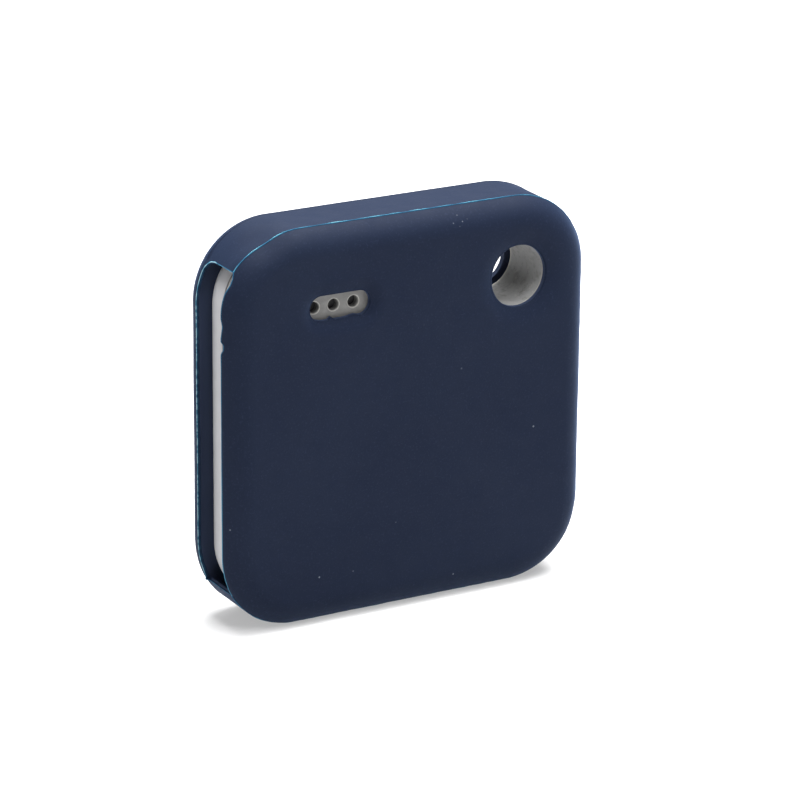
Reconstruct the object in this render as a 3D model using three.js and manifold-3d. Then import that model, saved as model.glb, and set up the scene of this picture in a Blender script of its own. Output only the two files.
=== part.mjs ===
// A bluetooth tracker tag in a one-piece silicone sleeve, in millimetres, +Z up.
// The tag stands on its lower edge. +Y looks from its back, where the sound holes are, to its front, where
// the button is. The sleeve's mouth is its -X side. The origin is the middle of the lower edge.
import * as THREE from "three";
import { mergeVertices } from "three/addons/utils/BufferGeometryUtils.js";
import Module from "manifold-3d";

const wasm = await Module();
wasm.setup();

// ---------------------------------------------------------------- driving dimensions
const TRACKER = { size: 35, thickness: 6.2, corner: 6.3, frontRound: 2.7, backRound: 1.2 };
const SLEEVE = { wall: 1.0, panel: 1.1, rimInset: 2.6, rimDepth: 1.7 };
const GAP = 0.05; // between pieces that touch
const FIT = 0.1; // between the tracker and the sleeve's pocket
const PLATE = 0.8; // back plate and front wall
const SIDE_WALL = 1.0;
const KEY_HOLE_RADIUS = 2.9;
const SOUND_HOLES = { x: -7.55, z: 11.1, pitch: 2.0, radius: 0.52 };
const SOUND_SLOT = { x: -7.3, z: 11.0, length: 6.4, height: 2.5 };
const MOUTH = { low: -15.05, high: 15.3, cornerRound: 1.3, lip: 0.4 };
const BUTTON = { radius: 4.5, flange: 5.2, bezel: 5.0, windowRadius: 6.6, travel: 0.2 };
const CELL = { x: -6.5, z: -6.0, radius: 8, thickness: 3.2 };
const BOARD = { size: 31.6, thickness: 0.6 };
const PIEZO = { x: -7.5, z: 9.6, radius: 5.8 };
const DOOR = { right: 1.95, low: -14.5, high: 2.5, runner: 0.6, runnerThickness: 0.25 };

// ---------------------------------------------------------------- derived dimensions
const BACK = -TRACKER.thickness / 2;
const FRONT = TRACKER.thickness / 2;
const BACK_INNER = BACK + PLATE;
const FRONT_INNER = FRONT - PLATE;
const SEAM = -0.8; // the front shell ends here and the rear frame begins
const SLEEVE_SIZE = TRACKER.size + 2 * SLEEVE.wall;
const SLEEVE_CORNER = TRACKER.corner + SLEEVE.wall;
const SLEEVE_HALF_THICKNESS = TRACKER.thickness / 2 + SLEEVE.panel;
const PARTING = SLEEVE_HALF_THICKNESS - SLEEVE.rimDepth; // the moulding line on each side of the band
const KEY_HOLE = SLEEVE_SIZE / 2 - SLEEVE_CORNER; // the hole is concentric with the corner
const CAVITY_SIZE = TRACKER.size - 2 * SIDE_WALL;
const CAVITY_CORNER = TRACKER.corner - SIDE_WALL;
const CELL_BACK = BACK_INNER + GAP;
const CELL_FRONT = CELL_BACK + CELL.thickness;
const BOARD_BACK = CELL_FRONT + 0.3; // the cell's spring contact fills this gap
const BOARD_FRONT = BOARD_BACK + BOARD.thickness;
const ARC_STEPS = 10; // per quarter of a rounded corner

// ---------------------------------------------------------------- materials
const material = (color, roughness, metalness = 0) =>
  new THREE.MeshStandardMaterial({ color, roughness, metalness });
const silicone = material(0x2a3350, 0.75);
const whitePlastic = material(0xe6e6e8, 0.45);
const greyPlastic = material(0x8f908c, 0.5);
const blackPlastic = material(0x1b1b1d, 0.5);
const rubber = material(0x2b2b2b, 0.8);
const boardGreen = material(0x16402f, 0.5);
const chrome = material(0xc9ccd0, 0.15, 1);
const steel = material(0xa9acb0, 0.3, 1);
const brass = material(0xb5904a, 0.35, 1);
const ceramic = material(0xd9d2c0, 0.6);

// ---------------------------------------------------------------- solids
// A closed three.js geometry as a manifold solid.
function solid(geometry) {
  const flat = geometry.index ? geometry.toNonIndexed() : geometry;
  const bare = new THREE.BufferGeometry().setAttribute("position", flat.getAttribute("position"));
  const merged = mergeVertices(bare, 1e-4);
  const mesh = new wasm.Mesh({
    numProp: 3,
    vertProperties: merged.attributes.position.array,
    triVerts: new Uint32Array(merged.index.array),
  });
  return new wasm.Manifold(mesh);
}

// A manifold solid as a three.js geometry.
function geometryOf(body) {
  const { vertProperties, triVerts } = body.getMesh();
  const geometry = new THREE.BufferGeometry();
  geometry.setAttribute("position", new THREE.BufferAttribute(vertProperties, 3));
  geometry.setIndex(new THREE.BufferAttribute(triVerts, 1));
  geometry.computeVertexNormals();
  return geometry;
}

// A rectangle with round corners, seen along Y: the shape's x is X and its y is Z.
function roundedRectangle(width, height, corner, x = 0, z = 0) {
  const shape = new THREE.Shape();
  const right = width / 2 - corner;
  const top = height / 2 - corner;
  const quarter = Math.PI / 2;
  shape.absarc(x + right, z + top, corner, 0, quarter);
  shape.absarc(x - right, z + top, corner, quarter, 2 * quarter);
  shape.absarc(x - right, z - top, corner, 2 * quarter, 3 * quarter);
  shape.absarc(x + right, z - top, corner, 3 * quarter, 4 * quarter);
  return shape;
}

// A shape made solid from y = back to y = front. An edge round is { inset, depth, steps } at both ends.
function slab(shape, back, front, round = null) {
  const depth = front - back - (round ? 2 * round.depth : 0);
  const settings = { depth, bevelEnabled: Boolean(round), curveSegments: ARC_STEPS };
  if (round) {
    settings.bevelSize = round.inset;
    settings.bevelOffset = -round.inset;
    settings.bevelThickness = round.depth;
    settings.bevelSegments = round.steps ?? 5;
  }
  const geometry = new THREE.ExtrudeGeometry(shape, settings);
  geometry.rotateX(Math.PI / 2);
  geometry.translate(0, front - (round ? round.depth : 0), 0);
  return solid(geometry);
}

// A square block with round corners, and its edges rounded to a quarter ellipse.
function roundedBlock(size, corner, back, front, round = null) {
  return slab(roundedRectangle(size, size, corner), back, front, round);
}

// A plain block between two corners.
function block(low, high) {
  const [width, depth, height] = high.map((value, axis) => value - low[axis]);
  const geometry = new THREE.BoxGeometry(width, depth, height);
  geometry.translate((low[0] + high[0]) / 2, (low[1] + high[1]) / 2, (low[2] + high[2]) / 2);
  return solid(geometry);
}

// A cylinder along Y.
function disc(radius, back, front, x = 0, z = 0, sides = 48) {
  const geometry = new THREE.CylinderGeometry(radius, radius, front - back, sides);
  geometry.translate(x, (back + front) / 2, z);
  return solid(geometry);
}

// A ring along Y.
function ring(outer, inner, back, front, x = 0, z = 0, sides = 48) {
  return disc(outer, back, front, x, z, sides).subtract(disc(inner, back - 1, front + 1, x, z, sides));
}

// A profile of [radius, y] points turned about Y.
function turned(points, x = 0, z = 0, sides = 48) {
  const profile = points.map(([radius, y]) => new THREE.Vector2(radius, y));
  const geometry = new THREE.LatheGeometry(profile, sides);
  const body = solid(geometry);
  return (body.volume() < 0 ? solid(geometry.scale(1, 1, -1)) : body).translate(x, 0, z);
}

// A strip bent to an outline of [x, y] points, as wide as width along Z.
function bentStrip(points, width, x, z) {
  const shape = new THREE.Shape(points.map(([px, py]) => new THREE.Vector2(px, py)));
  const geometry = new THREE.ExtrudeGeometry(shape, { depth: width, bevelEnabled: false });
  geometry.translate(x, 0, z - width / 2);
  return solid(geometry);
}

// The outside of the tracker, or the same shape set in by `inset` on every side.
function trackerForm(inset = 0, backInset = inset, frontInset = inset) {
  const size = TRACKER.size - 2 * inset;
  const corner = TRACKER.corner - inset;
  const beyond = 12;
  const roundOf = (radius) => ({ inset: radius, depth: radius });
  const front = roundedBlock(size, corner, -beyond, FRONT - frontInset, roundOf(TRACKER.frontRound - inset));
  if (backInset > 0) return front.intersect(roundedBlock(size, corner, BACK + backInset, beyond));
  return front.intersect(roundedBlock(size, corner, BACK, beyond, roundOf(TRACKER.backRound)));
}

// The part of a body between two y values.
function between(body, back, front) {
  const reach = SLEEVE_SIZE;
  return body.intersect(block([-reach, back, -reach], [reach, front, reach]));
}

// ---------------------------------------------------------------- the sleeve
// A cutter for a hole through a panel, whose edge is dished on the outside.
function dishedHole(radius, x, z, side) {
  const dish = { width: 1.5, depth: 0.55 };
  const face = SLEEVE_HALF_THICKNESS;
  const profile = [
    [0, 0],
    [radius, 0],
    [radius, face - dish.depth],
    [radius + dish.width * 0.4, face - dish.depth * 0.45],
    [radius + dish.width, face],
    [radius + dish.width, face + 1],
    [0, face + 1],
  ];
  return turned(profile.map(([r, y]) => [r, side * y]), x, z);
}

// The slot in the back panel that shows the sound holes, dished in two steps.
function soundSlot() {
  const { x, z, length, height } = SOUND_SLOT;
  const stadium = (grow) =>
    roundedRectangle(length + 2 * grow, height + 2 * grow, height / 2 + grow - 0.01, x, z);
  const face = -SLEEVE_HALF_THICKNESS;
  const steps = [
    [0, 0],
    [0.5, 0.55],
    [1.0, 0.3],
    [1.5, 0.12],
  ];
  return steps
    .map(([grow, depth]) => slab(stadium(grow), face - 1, depth ? face + depth : 0))
    .reduce((all, cut) => all.add(cut));
}

// The opening in the sleeve's -X side, between the moulding lines, with its upper far corner rounded.
function mouthCut() {
  const { low, high, cornerRound } = MOUTH;
  const shape = new THREE.Shape();
  shape.moveTo(-PARTING, low);
  shape.lineTo(PARTING, low);
  shape.absarc(PARTING - cornerRound, high - cornerRound, cornerRound, 0, Math.PI / 2);
  shape.lineTo(-PARTING, high);
  const geometry = new THREE.ExtrudeGeometry(shape, { depth: 4, bevelEnabled: false, curveSegments: 6 });
  const toSide = new THREE.Matrix4().makeBasis(
    new THREE.Vector3(0, 1, 0),
    new THREE.Vector3(0, 0, 1),
    new THREE.Vector3(1, 0, 0),
  );
  geometry.applyMatrix4(toSide);
  geometry.translate(-SLEEVE_SIZE / 2 - 1, 0, 0);
  return solid(geometry);
}

function siliconeSleeve() {
  const half = SLEEVE_HALF_THICKNESS;
  const outer = roundedBlock(SLEEVE_SIZE, SLEEVE_CORNER, -half, half, {
    inset: SLEEVE.rimInset,
    depth: SLEEVE.rimDepth,
    steps: 6,
  });
  const pocketFace = FRONT + FIT;
  const pocket = roundedBlock(TRACKER.size + 2 * FIT, TRACKER.corner + FIT, -pocketFace, pocketFace, {
    inset: 1.7,
    depth: 0.7,
  });
  const flare = { depth: 2.9, reach: SLEEVE_SIZE / 2 - MOUTH.lip, end: 0.5 };
  const mouthFlare = block(
    [-flare.reach, -flare.depth, MOUTH.low + flare.end],
    [-12, flare.depth, MOUTH.high - flare.end],
  );
  return outer
    .subtract(pocket)
    .subtract(mouthFlare)
    .subtract(mouthCut())
    .subtract(dishedHole(KEY_HOLE_RADIUS, KEY_HOLE, KEY_HOLE, -1))
    .subtract(dishedHole(KEY_HOLE_RADIUS, KEY_HOLE, KEY_HOLE, 1))
    .subtract(dishedHole(BUTTON.windowRadius, 0, 0, 1))
    .subtract(soundSlot());
}

// ---------------------------------------------------------------- the tracker's housing
const TUBE_RADIUS = 3.7; // the wall round the key-ring hole
const TUBE_END = FRONT - 0.65; // the tube stops short of the front shell's face
const tubeClearance = (back, front) => disc(TUBE_RADIUS + GAP, back, front, KEY_HOLE, KEY_HOLE);

// The flared rim of the key-ring hole in the front shell's face.
function flaredRim() {
  const start = TUBE_RADIUS - 0.1;
  return turned(
    [
      [0, TUBE_END],
      [start, TUBE_END],
      [start + 0.2, TUBE_END + 0.2],
      [start + 0.4, TUBE_END + 0.45],
      [start + 0.8, FRONT],
      [start + 0.8, FRONT + 1],
      [0, FRONT + 1],
    ],
    KEY_HOLE,
    KEY_HOLE,
  );
}

function frontShell() {
  const cavity = between(trackerForm(SIDE_WALL, SIDE_WALL, PLATE), -10, FRONT);
  const boardPosts = [
    [-13.2, 13.2],
    [-13.2, -13.2],
    [13.2, -13.2],
    [2.5, 14.5],
  ].map(([x, z]) => disc(0.9, BOARD_FRONT + GAP, FRONT_INNER + 0.2, x, z, 16));
  const recess = disc(BUTTON.flange + 0.2, 0, FRONT - 0.48);
  const shell = between(trackerForm(), SEAM, FRONT + 1).subtract(cavity);
  return boardPosts
    .reduce((all, post) => all.add(post), shell)
    .subtract(recess)
    .subtract(disc(BUTTON.bezel + 0.02, 0, FRONT + 1))
    .subtract(tubeClearance(0, FRONT + 1))
    .subtract(flaredRim());
}

// The ring between the front shell and the back plate, with a tongue that locates the front shell.
function rearFrame() {
  const opening = roundedBlock(TRACKER.size - 2 * 1.65, TRACKER.corner - 1.65, -6, 6);
  const outside = between(trackerForm(), BACK_INNER + GAP, SEAM - GAP);
  const tongueSize = CAVITY_SIZE - 2 * GAP;
  const tongue = roundedBlock(tongueSize, CAVITY_CORNER - GAP, BACK_INNER + 0.3, SEAM + 0.7);
  return outside.add(tongue).subtract(opening).subtract(tubeClearance(-6, 6));
}

// The grey back, which carries the sound holes, the key-ring tube and the battery door's grooves.
function backPlate() {
  const plate = between(trackerForm(), BACK, BACK_INNER);
  const tube = disc(TUBE_RADIUS, BACK_INNER - 0.2, TUBE_END, KEY_HOLE, KEY_HOLE);
  const far = SLEEVE_SIZE;
  const doorway = block([-far, -far, DOOR.low - GAP], [DOOR.right + GAP, far, DOOR.high + GAP]);
  const grooveSide = DOOR.runner + 2 * GAP;
  const groove = block(
    [-far, BACK_INNER - DOOR.runnerThickness - 3 * GAP, DOOR.low - grooveSide],
    [DOOR.right + grooveSide, 0, DOOR.high + grooveSide],
  );
  const holes = [-1, 0, 1].map((place) =>
    disc(SOUND_HOLES.radius, -far, far, SOUND_HOLES.x + place * SOUND_HOLES.pitch, SOUND_HOLES.z, 24),
  );
  const keyHole = disc(KEY_HOLE_RADIUS, -far, far, KEY_HOLE, KEY_HOLE);
  return [doorway, groove, ...holes, keyHole].reduce((all, cut) => all.subtract(cut), plate.add(tube));
}

// The battery door: a flush plate with thin runners that slide in the back plate's grooves.
function batteryDoor() {
  const inner = BACK_INNER - GAP;
  const far = SLEEVE_SIZE;
  const form = trackerForm();
  const cover = form.intersect(block([-far, -far, DOOR.low], [DOOR.right, inner, DOOR.high]));
  const runners = block(
    [-TRACKER.size / 2 + 1.2, inner - DOOR.runnerThickness, DOOR.low - DOOR.runner],
    [DOOR.right + DOOR.runner, inner, DOOR.high + DOOR.runner],
  );
  return cover.add(runners.intersect(form));
}

const doorPad = () => disc(4, BACK_INNER - GAP + 0.02, CELL_BACK - 0.02, CELL.x, CELL.z, 32);
const tubeSeal = () =>
  ring(TUBE_RADIUS + 0.4, TUBE_RADIUS + GAP, BOARD_FRONT + GAP, FRONT_INNER - 0.12, KEY_HOLE, KEY_HOLE, 32);

// ---------------------------------------------------------------- the button
const DOME_TOP = BOARD_FRONT + 0.3;
const BUTTON_FOOT = DOME_TOP + 0.02;
const FLANGE_TOP = FRONT - 0.6;

function frontButton() {
  const { radius, flange } = BUTTON;
  return turned([
    [0, BUTTON_FOOT],
    [1.0, BUTTON_FOOT],
    [1.0, BUTTON_FOOT + 0.1],
    [flange, BUTTON_FOOT + 0.1],
    [flange, FLANGE_TOP],
    [radius, FLANGE_TOP],
    [radius, FRONT - 0.15],
    [radius - 0.15, FRONT - 0.05],
    [radius - 0.6, FRONT - 0.1],
    [radius / 2, FRONT - 0.2],
    [0, FRONT - 0.25],
  ]);
}

const buttonSeal = () => ring(5.15, BUTTON.radius + 0.08, FLANGE_TOP + 0.01, FLANGE_TOP + 0.1, 0, 0, 48);

function buttonBezel() {
  const { radius, bezel } = BUTTON;
  return turned([
    [radius + 0.08, FRONT - 0.46],
    [bezel, FRONT - 0.46],
    [bezel, FRONT],
    [bezel - 0.1, FRONT + 0.04],
    [radius + 0.16, FRONT + 0.04],
    [radius + 0.08, FRONT - 0.02],
    [radius + 0.08, FRONT - 0.46],
  ]);
}

// The snap dome under the button, which buckles when it is pressed.
function switchDome() {
  const radius = 2.6;
  const sheet = 0.08;
  const height = DOME_TOP - BOARD_FRONT - sheet - 0.02;
  const steps = 5;
  const curve = [...Array(steps + 1).keys()].map((step) => {
    const share = step / steps;
    return [radius * (1 - share), height * (1 - (1 - share) ** 2)];
  });
  const base = BOARD_FRONT + 0.02;
  const under = curve.map(([r, rise]) => [r, base + rise]);
  const over = [...curve].reverse().map(([r, rise]) => [r, base + rise + sheet]);
  return turned([...under, ...over, under[0]], 0, 0, 32);
}

// ---------------------------------------------------------------- the circuit board and what is on it
function circuitBoard() {
  const blank = roundedBlock(BOARD.size, 4.6, BOARD_BACK, BOARD_FRONT);
  const notch = (x, z) => disc(0.8, -9, 9, x, z, 16);
  return blank
    .subtract(disc(TUBE_RADIUS + 0.15, -9, 9, KEY_HOLE, KEY_HOLE))
    .subtract(notch(-BOARD.size / 2, 0))
    .subtract(notch(BOARD.size / 2, -4));
}

// A component soldered to the back of the board.
function component(x, z, width, height, thickness, corner = 0) {
  const back = BOARD_BACK - 0.02 - thickness;
  const front = BOARD_BACK - 0.02;
  if (corner) return slab(roundedRectangle(width, height, corner, x, z), back, front);
  return block([x - width / 2, back, z - height / 2], [x + width / 2, front, z + height / 2]);
}

// ---------------------------------------------------------------- the sounder
// A coil contact spring between the sounder and the board.
function contactSpring(x, z, back) {
  const coil = { radius: 0.7, wire: 0.14, turns: 4, stepsPerTurn: 14 };
  const front = BOARD_BACK - 0.03;
  class Helix extends THREE.Curve {
    getPoint(share, target = new THREE.Vector3()) {
      const angle = share * coil.turns * 2 * Math.PI;
      const rise = back + coil.wire + share * (front - back - 2 * coil.wire);
      return target.set(x + coil.radius * Math.cos(angle), rise, z + coil.radius * Math.sin(angle));
    }
  }
  const section = new THREE.Shape();
  section.absarc(0, 0, coil.wire, 0, 2 * Math.PI);
  const geometry = new THREE.ExtrudeGeometry(section, {
    extrudePath: new Helix(),
    steps: coil.turns * coil.stepsPerTurn,
    curveSegments: 3,
  });
  return solid(geometry);
}

const SOUNDER = { discBack: BACK_INNER + 0.15, disc: 0.2, ceramic: 0.18 };
const CERAMIC_BACK = SOUNDER.discBack + SOUNDER.disc + 0.02;
const CERAMIC_FRONT = CERAMIC_BACK + SOUNDER.ceramic;

const sounderDisc = () =>
  disc(PIEZO.radius, SOUNDER.discBack, SOUNDER.discBack + SOUNDER.disc, PIEZO.x, PIEZO.z);
const sounderCeramic = () => disc(4.2, CERAMIC_BACK, CERAMIC_FRONT, PIEZO.x, PIEZO.z, 40);
const sounderGasket = () =>
  ring(PIEZO.radius, 4.9, BACK_INNER + 0.02, SOUNDER.discBack - 0.02, PIEZO.x, PIEZO.z, 40);
const soundMesh = () => {
  const shape = roundedRectangle(6.4, 1.9, 0.94, SOUND_HOLES.x, SOUND_HOLES.z);
  return slab(shape, BACK_INNER + 0.02, BACK_INNER + 0.1);
};

// ---------------------------------------------------------------- the coin cell and its contacts
function cellCan() {
  const { radius } = CELL;
  return turned(
    [
      [0, CELL_BACK],
      [radius - 0.3, CELL_BACK],
      [radius, CELL_BACK + 0.3],
      [radius, CELL_FRONT - 0.4],
      [radius - 0.3, CELL_FRONT - 0.15],
      [radius - 0.8, CELL_FRONT - 0.15],
      [radius - 0.8, CELL_FRONT - 0.4],
      [radius - 0.4, CELL_FRONT - 0.5],
      [radius - 0.4, CELL_BACK + 0.35],
      [0, CELL_BACK + 0.35],
    ],
    CELL.x,
    CELL.z,
    64,
  );
}

const cellGasket = () =>
  ring(CELL.radius - 0.85, CELL.radius - 1.15, CELL_BACK + 0.4, CELL_FRONT - 0.12, CELL.x, CELL.z, 64);
function cellCap() {
  const radius = CELL.radius - 1.2;
  return turned(
    [
      [0, CELL_BACK + 0.4],
      [radius, CELL_BACK + 0.4],
      [radius, CELL_FRONT - 0.2],
      [radius - 0.2, CELL_FRONT],
      [0, CELL_FRONT],
    ],
    CELL.x,
    CELL.z,
    64,
  );
}

// The wall that holds the cell, cut away where the positive contact reaches its rim.
function cellCradle() {
  const wall = ring(8.75, 8.15, CELL_BACK + 0.05, BOARD_BACK - 0.02, CELL.x, CELL.z, 64);
  const window = block([CELL.x + 7, -9, CELL.z - 1.7], [CELL.x + 10, 9, CELL.z + 1.7]);
  return wall.subtract(window);
}

function positiveContact() {
  const foot = BOARD_BACK - 0.02;
  const outline = [
    [0.05, foot - 2.6],
    [0.25, foot - 2.6],
    [0.5, foot - 0.2],
    [2.6, foot - 0.2],
    [2.6, foot],
    [0.32, foot],
    [0.12, foot - 1.6],
  ];
  return bentStrip(outline, 2.6, CELL.x + CELL.radius, CELL.z);
}

function negativeContact() {
  const foot = BOARD_BACK - 0.02;
  const sheet = 0.1;
  const crown = CELL_FRONT + 0.02;
  const outline = [
    [-4.5, foot],
    [-4.5, foot - sheet],
    [-3, foot - sheet],
    [-1, crown],
    [1, crown],
    [3, foot - sheet],
    [4.5, foot - sheet],
    [4.5, foot],
    [2.9, foot],
    [0.9, crown + sheet],
    [-0.9, crown + sheet],
    [-2.9, foot],
  ];
  return bentStrip(outline.reverse(), 3, CELL.x, CELL.z);
}

// ---------------------------------------------------------------- assembly
const tag = new THREE.Group();
tag.position.z = SLEEVE_SIZE / 2;

function add(name, body, look, parent = tag) {
  const mesh = new THREE.Mesh(geometryOf(body), look);
  mesh.name = name;
  parent.add(mesh);
}

add("silicone_sleeve", siliconeSleeve(), silicone);

const tracker = new THREE.Group();
tag.add(tracker);
add("front_shell", frontShell(), whitePlastic, tracker);
add("rear_frame", rearFrame(), whitePlastic, tracker);
add("back_plate", backPlate(), greyPlastic, tracker);
add("key_ring_tube_seal", tubeSeal(), rubber, tracker);
add("button_bezel", buttonBezel(), chrome, tracker);
add("switch_dome", switchDome(), steel, tracker);
add("circuit_board", circuitBoard(), boardGreen, tracker);
add("sounder_disc", sounderDisc(), brass, tracker);
add("sounder_ceramic", sounderCeramic(), ceramic, tracker);
add("sounder_gasket", sounderGasket(), rubber, tracker);
add("sound_hole_mesh", soundMesh(), blackPlastic, tracker);
add("sounder_spring_centre", contactSpring(PIEZO.x, PIEZO.z, CERAMIC_FRONT + 0.02), steel, tracker);
add("sounder_spring_edge", contactSpring(-2.3, PIEZO.z, SOUNDER.discBack + 0.23), steel, tracker);
add("coin_cell_can", cellCan(), steel, tracker);
add("coin_cell_gasket", cellGasket(), blackPlastic, tracker);
add("coin_cell_cap", cellCap(), steel, tracker);
add("coin_cell_cradle", cellCradle(), blackPlastic, tracker);
add("cell_contact_positive", positiveContact(), steel, tracker);
add("cell_contact_negative", negativeContact(), steel, tracker);
add("bluetooth_chip", component(9.2, -1.5, 5, 5, 0.85), blackPlastic, tracker);
add("main_crystal", component(13.6, 1.2, 2.5, 3.2, 0.7, 0.4), steel, tracker);
add("clock_crystal", component(5.2, 3.4, 1.5, 3.2, 0.9, 0.3), steel, tracker);
add("chip_antenna", component(14.4, -10.2, 2, 7, 1.0), ceramic, tracker);
add("power_inductor", component(7.6, -10.4, 4, 4, 1.8, 0.8), blackPlastic, tracker);
add("sounder_driver_chip", component(2.6, 7.6, 3, 3, 0.8), blackPlastic, tracker);
const CAPACITOR_PLACES = [
  [5.2, -3.5],
  [5.2, -0.8],
  [12.9, -3.6],
  [11.4, -6.2],
  [2.6, 11.6],
  [5.6, 8.6],
];
CAPACITOR_PLACES.forEach(([x, z], index) => {
  add(`capacitor_${index + 1}`, component(x, z, 0.8, 1.6, 0.8), ceramic, tracker);
});

const button = new THREE.Group();
tracker.add(button);
add("front_button", frontButton(), whitePlastic, button);
add("button_seal", buttonSeal(), rubber, button);

const door = new THREE.Group();
tracker.add(door);
add("battery_door", batteryDoor(), greyPlastic, door);
add("battery_door_pad", doorPad(), rubber, door);

export default tag;
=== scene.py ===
"""A bluetooth tracker tag in its silicone sleeve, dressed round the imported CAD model.

Lengths are millimetres about the tag's middle, and Surface turns them into Blender's metres.
+Z is up, -Y the tag's back with the sound holes, +Y its front with the button, -X the mouth.
"""
import math

import bmesh
import bpy
import numpy as np
from mathutils import Matrix, Vector, noise
from mathutils.geometry import delaunay_2d_cdt


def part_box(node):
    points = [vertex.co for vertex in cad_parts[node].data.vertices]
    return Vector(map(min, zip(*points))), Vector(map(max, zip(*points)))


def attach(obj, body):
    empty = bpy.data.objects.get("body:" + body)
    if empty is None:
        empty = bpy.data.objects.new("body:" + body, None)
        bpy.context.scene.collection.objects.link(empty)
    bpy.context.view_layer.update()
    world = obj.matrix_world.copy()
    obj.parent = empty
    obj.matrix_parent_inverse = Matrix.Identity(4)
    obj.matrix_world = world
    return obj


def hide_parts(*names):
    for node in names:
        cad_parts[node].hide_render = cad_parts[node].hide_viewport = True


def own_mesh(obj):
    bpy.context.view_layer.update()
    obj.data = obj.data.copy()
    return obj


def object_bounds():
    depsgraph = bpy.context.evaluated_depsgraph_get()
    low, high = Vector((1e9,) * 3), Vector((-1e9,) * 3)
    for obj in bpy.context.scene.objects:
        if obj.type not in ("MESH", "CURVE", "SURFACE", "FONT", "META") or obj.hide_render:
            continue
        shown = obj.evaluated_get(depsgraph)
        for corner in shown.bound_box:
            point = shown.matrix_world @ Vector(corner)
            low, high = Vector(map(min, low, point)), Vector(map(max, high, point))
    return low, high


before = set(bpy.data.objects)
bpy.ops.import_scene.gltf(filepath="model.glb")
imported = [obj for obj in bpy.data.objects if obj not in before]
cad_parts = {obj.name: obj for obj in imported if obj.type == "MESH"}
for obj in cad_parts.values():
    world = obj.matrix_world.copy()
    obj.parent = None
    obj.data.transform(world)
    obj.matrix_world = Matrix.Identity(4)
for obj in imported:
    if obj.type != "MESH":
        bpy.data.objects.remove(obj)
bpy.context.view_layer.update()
MM = 0.001
SAME_PLACE, ON_LINE = 1e-3, 1e-4  # how close points count as one point, and as lying on a line


def span(node):
    """A CAD node's lowest and highest corners in millimetres."""
    low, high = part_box(node)
    return np.array(low) / MM, np.array(high) / MM


# -------- dimensions
SLEEVE_LOW, SLEEVE_HIGH = span("silicone_sleeve")
MIDDLE = (SLEEVE_LOW[2] + SLEEVE_HIGH[2]) / 2
HALF, FACE = SLEEVE_HIGH[:2]  # half the sleeve's width and half its thickness
CORNER = 7.3  # its corners' radius
CORE = HALF - CORNER  # the corner arcs' centres, one of which is the key-ring hole's
RIM_INSET, RIM_DEPTH = 2.6, 1.7  # the elliptical rounding from the side to the panel
PARTING = FACE - RIM_DEPTH
WALL, LIP = 0.9, 0.34  # the sleeve's side wall, and its thinner lips at the mouth
POCKET = 3.2  # the inside of each panel, from the middle
RIM_START = {-1: 0.9, 1: 0.0}  # how steeply each side's rounding leaves the parting line
MOUTH_TOP, MOUTH_BOTTOM = math.radians(180 - 34.2), math.radians(180 + 29.8)  # the mouth's two ends

TRACKER_HALF = span("front_shell")[1][0]
TRACKER_CORNER = 6.3
FRONT_FACE = span("front_shell")[1][1]
BACK_FACE = span("back_plate")[0][1]
SEAM = span("front_shell")[0][1]  # between the front shell and the rear frame
FRONT_ROUND, BACK_ROUND = 2.7, 1.2
PLATE_INSIDE = span("rear_frame")[0][1] - 0.05
TUBE_INNER, TUBE_OUTER = 2.82, 3.7  # the key-ring tube's radii
TUBE_END = span("back_plate")[1][1]

KEY_HOLE, KEY_HOLE_FAR = 2.76, 2.57  # the key-ring hole's radius in the back and front panels
SLOT_X, SLOT_Z, SLOT_LENGTH, SLOT_HEIGHT = -7.16, 11.09, 6.1, 2.34
SOUND_HOLES = [(-9.52, 11.08), (-7.54, 11.10), (-5.54, 11.12)]
SOUND_HOLE, BUTTON = 0.54, 4.5  # radii
BEZEL_INNER, BEZEL_OUTER = 4.58, 5.0
WINDOW = 6.6  # the radius of the round window in the sleeve's front panel
DOOR_RIGHT, DOOR_LOW, DOOR_HIGH = 1.95, -14.5, 2.5
RUNNER = 0.6  # how far the door's runners reach past its cover
GAP = 0.05  # between the door and its doorway
BEYOND = TRACKER_HALF + 2  # past the tracker, for cutters


# -------- small helpers
def smoothstep(value):
    value = np.clip(value, 0.0, 1.0)
    return value * value * (3 - 2 * value)


def wobble(x, y, z=0.0):
    """Smooth repeatable noise between about -1 and 1."""
    return noise.noise(Vector((x, y, z)))


def rim(share, side):
    """How far in and along the sleeve's rounding is, from the parting line (0) to the panel (1)."""
    inset = 2 * share * (1 - share) * RIM_START[side] + share**2 * RIM_INSET
    return inset, RIM_DEPTH * share * (2 - share)


def at_height(flat, y):
    """Points of the (x, z) plane at y, which is one number or one for each point."""
    return np.stack([flat[:, 0], np.broadcast_to(y, (len(flat),)), flat[:, 1]], axis=1)


def new_object(name, data):
    item = bpy.data.objects.new(name, data)
    bpy.context.scene.collection.objects.link(item)
    return item


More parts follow.
